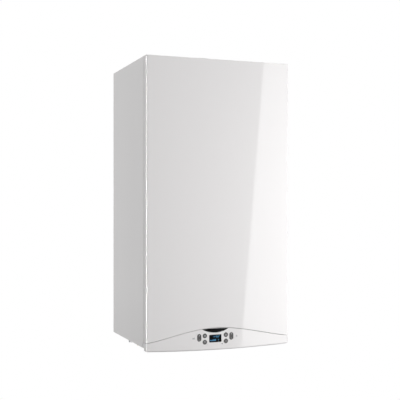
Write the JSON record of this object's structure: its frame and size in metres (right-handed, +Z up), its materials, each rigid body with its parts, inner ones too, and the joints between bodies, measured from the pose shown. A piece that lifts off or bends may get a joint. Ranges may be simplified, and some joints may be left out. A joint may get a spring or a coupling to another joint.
{
  "type": "wall-mounted gas boiler",
  "caption": "Wall-hung condensing gas boiler in a white sheet-metal casing, with a tilting front cover over an arched control panel that folds down, flue collar and pipe unions.",
  "frame": {"origin": "on the wall face, midway between the two wall screws", "axes": "+X to the right seen from the room, +Y into the wall, +Z up"},
  "size_m": [0.4, 0.3205, 0.801],
  "materials": {
    "white_casing": "gloss white polyester powder coat on steel sheet",
    "zinc_sheet": "hot-dip galvanised steel sheet",
    "fascia_plastic": "white moulded ABS",
    "key_plastic": "grey moulded key",
    "badge_black": "black plate",
    "lens_dark": "dark display lens",
    "display_black": "display module",
    "board_green": "circuit board laminate",
    "component_black": "moulded electrical parts",
    "box_plastic": "dark grey glass-filled housing",
    "foam": "insulating foam sheet",
    "flue_white": "white polypropylene",
    "cap_dark": "dark plastic cap",
    "stainless": "stainless steel",
    "cast_alloy": "die-cast aluminium",
    "vessel_paint": "red painted steel",
    "black_plastic": "black moulded plastic",
    "pump_iron": "black coated cast iron",
    "brass": "machined brass",
    "copper": "drawn copper tube",
    "trap_grey": "grey polypropylene",
    "hose_rubber": "grey rubber hose",
    "ceramic": "glazed ceramic"
  },
  "bodies": {
    "casing": {"wall_bracket": "zinc_sheet", "back_frame": "zinc_sheet", "side_panel_left": "white_casing", "side_panel_right": "white_casing", "top_panel": "zinc_sheet", "stud_clips": "stainless", "bottom_tray": "zinc_sheet", "pivot_brackets": "black_plastic", "air_collar": "flue_white", "flue_test_caps": "cap_dark", "intake_blank": "flue_white", "expansion_vessel": "vessel_paint", "exchanger_bridge": "zinc_sheet", "heat_exchanger": "stainless", "exhaust_spigot": "stainless", "burner_door": "cast_alloy", "door_nuts": "stainless", "ignition_electrode": "ceramic", "fan_housing": "cast_alloy", "fan_motor": "black_plastic", "gas_mixer": "cast_alloy", "gas_valve": "cast_alloy", "pipe_unions": "brass", "water_blocks": "brass", "plate_exchanger": "stainless", "water_tails": "copper", "heating_pipes": "copper", "gas_pipes": "copper", "pump_body": "pump_iron", "pump_motor": "pump_iron", "diverter_motor": "black_plastic", "safety_valve": "brass", "air_vent": "brass", "condensate_trap": "trap_grey", "condensate_outlet": "trap_grey", "condensate_hose": "hose_rubber", "filling_tap": "brass", "cable_glands": "black_plastic"},
    "front_cover": {"front_cover": "white_casing", "cover_insulation": "foam"},
    "control_panel": {"control_fascia": "fascia_plastic", "badge_plate": "badge_black", "display_lens": "lens_dark", "display_module": "display_black", "display_board": "board_green", "control_box": "box_plastic", "control_box_lid": "box_plastic", "main_board": "board_green", "main_board_parts": "component_black"},
    "button_upper_left": {"button_upper_left": "key_plastic"},
    "button_upper_right": {"button_upper_right": "key_plastic"},
    "button_lower_left": {"button_lower_left": "key_plastic"},
    "button_lower_right": {"button_lower_right": "key_plastic"},
    "rocker_left": {"rocker_left": "key_plastic"},
    "rocker_right": {"rocker_right": "key_plastic"},
    "filling_knob": {"filling_knob": "key_plastic"},
    "fan_impeller": {"fan_impeller": "black_plastic"},
    "pump_impeller": {"pump_impeller": "black_plastic"}
  },
  "joints": [
    {"name": "cover_tilt", "type": "hinge", "parent": "casing", "child": "front_cover", "pos_m": [0, -0.2984, 0.0529], "axis": [-1, 0, 0], "range_deg": [0, 12]},
    {"name": "panel_fold", "type": "hinge", "parent": "casing", "child": "control_panel", "pos_m": [0, -0.16, -0.675], "axis": [1, 0, 0], "range_deg": [0, 90]},
    {"name": "press_upper_left", "type": "slide", "parent": "control_panel", "child": "button_upper_left", "axis": [0, 1, 0], "range_m": [0, 0.001], "stiffness_N_per_m": 500},
    {"name": "press_lower_left", "type": "slide", "parent": "control_panel", "child": "button_lower_left", "axis": [0, 1, 0], "range_m": [0, 0.001], "stiffness_N_per_m": 500},
    {"name": "press_upper_right", "type": "slide", "parent": "control_panel", "child": "button_upper_right", "axis": [0, 1, 0], "range_m": [0, 0.001], "stiffness_N_per_m": 500},
    {"name": "press_lower_right", "type": "slide", "parent": "control_panel", "child": "button_lower_right", "axis": [0, 1, 0], "range_m": [0, 0.001], "stiffness_N_per_m": 500},
    {"name": "rock_left", "type": "hinge", "parent": "control_panel", "child": "rocker_left", "pos_m": [-0.0565, -0.315, -0.6632], "axis": [1, 0, 0], "range_deg": [-3, 3], "stiffness_Nm_per_rad": 0.3},
    {"name": "rock_right", "type": "hinge", "parent": "control_panel", "child": "rocker_right", "pos_m": [0.0335, -0.315, -0.6632], "axis": [1, 0, 0], "range_deg": [-3, 3], "stiffness_Nm_per_rad": 0.3},
    {"name": "knob_turn", "type": "hinge", "parent": "casing", "child": "filling_knob", "pos_m": [0.096, -0.112, -0.705], "axis": [0, 0, 1], "range_deg": [0, 180]},
    {"name": "fan_spin", "type": "hinge", "parent": "casing", "child": "fan_impeller", "pos_m": [0.128, -0.25, -0.185], "axis": [0, 1, 0], "continuous": true},
    {"name": "pump_spin", "type": "hinge", "parent": "casing", "child": "pump_impeller", "pos_m": [0.134, -0.09, -0.523], "axis": [0, 1, 0], "continuous": true}
  ]
}
